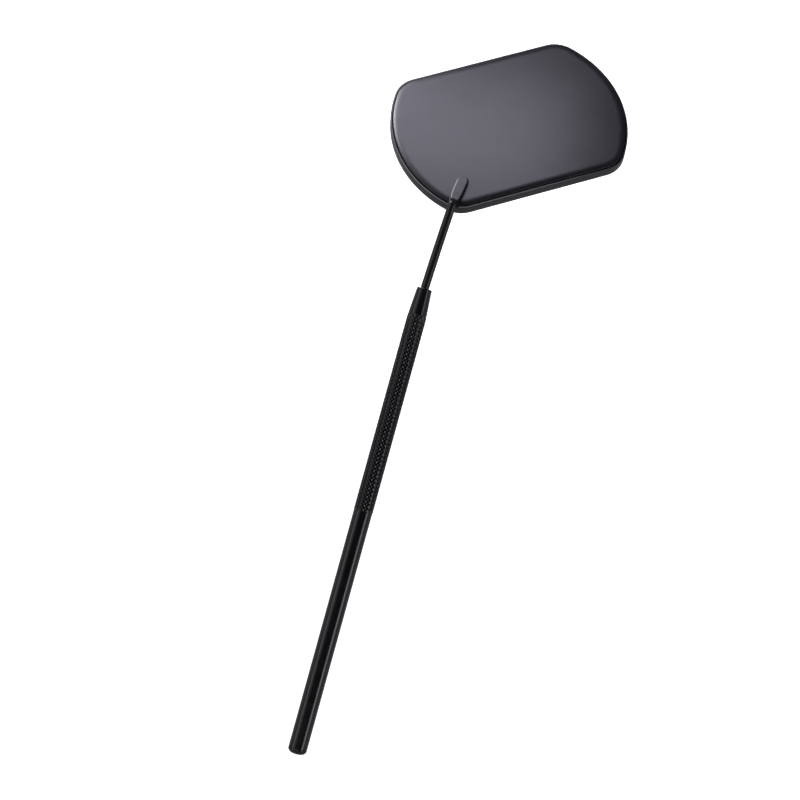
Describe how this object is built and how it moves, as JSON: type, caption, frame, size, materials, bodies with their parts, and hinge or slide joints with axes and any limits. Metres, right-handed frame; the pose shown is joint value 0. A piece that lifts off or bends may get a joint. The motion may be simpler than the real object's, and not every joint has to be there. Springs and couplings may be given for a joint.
{
  "type": "mouth mirror",
  "caption": "Hand-held mouth mirror with a flat cut-circle head on a bent wire stem, screwed into a slim handle with a diamond-knurled grip.",
  "frame": {"origin": "centre of the flat butt face at the lower end of the handle", "axes": "+Y along the handle's axis towards the head; +Z towards the painted back of the head; the glass faces down and back towards the handle"},
  "size_m": [0.0792, 0.2513, 0.0451],
  "materials": {
    "handle_lacquer": "semi-gloss black lacquer",
    "stem_lacquer": "semi-gloss black lacquer",
    "pan_paint": "satin black paint",
    "bezel_paint": "satin black paint",
    "turned_steel": "turned",
    "braze_metal": "brazed",
    "mirror_plate": "polished",
    "silver_layer": "silvered",
    "pad_foam": "foam"
  },
  "bodies": {
    "handle": {"end_plug": "handle_lacquer", "handle_tube": "handle_lacquer", "nose_collar": "handle_lacquer"},
    "ferrule": {"threaded_ferrule": "turned_steel"},
    "head": {"stem": "stem_lacquer", "paddle_bond": "braze_metal", "back_pan": "pan_paint", "bezel_ring": "bezel_paint", "mirror_glass": "mirror_plate", "silver_coating": "silver_layer", "adhesive_pad": "pad_foam"}
  },
  "joints": [
    {"name": "thread_advance", "type": "slide", "parent": "handle", "child": "ferrule", "axis": [0, 1, 0], "range_m": [0, 0.00562]},
    {"name": "head_turn", "type": "hinge", "parent": "ferrule", "child": "head", "pos_m": [0, 0.1568, 0], "axis": [0, 1, 0], "range_deg": [0, 4500]}
  ],
  "couplings": [
    {"joint": "thread_advance", "follows": "head_turn", "m_per_rad": 0.00007162}
  ]
}
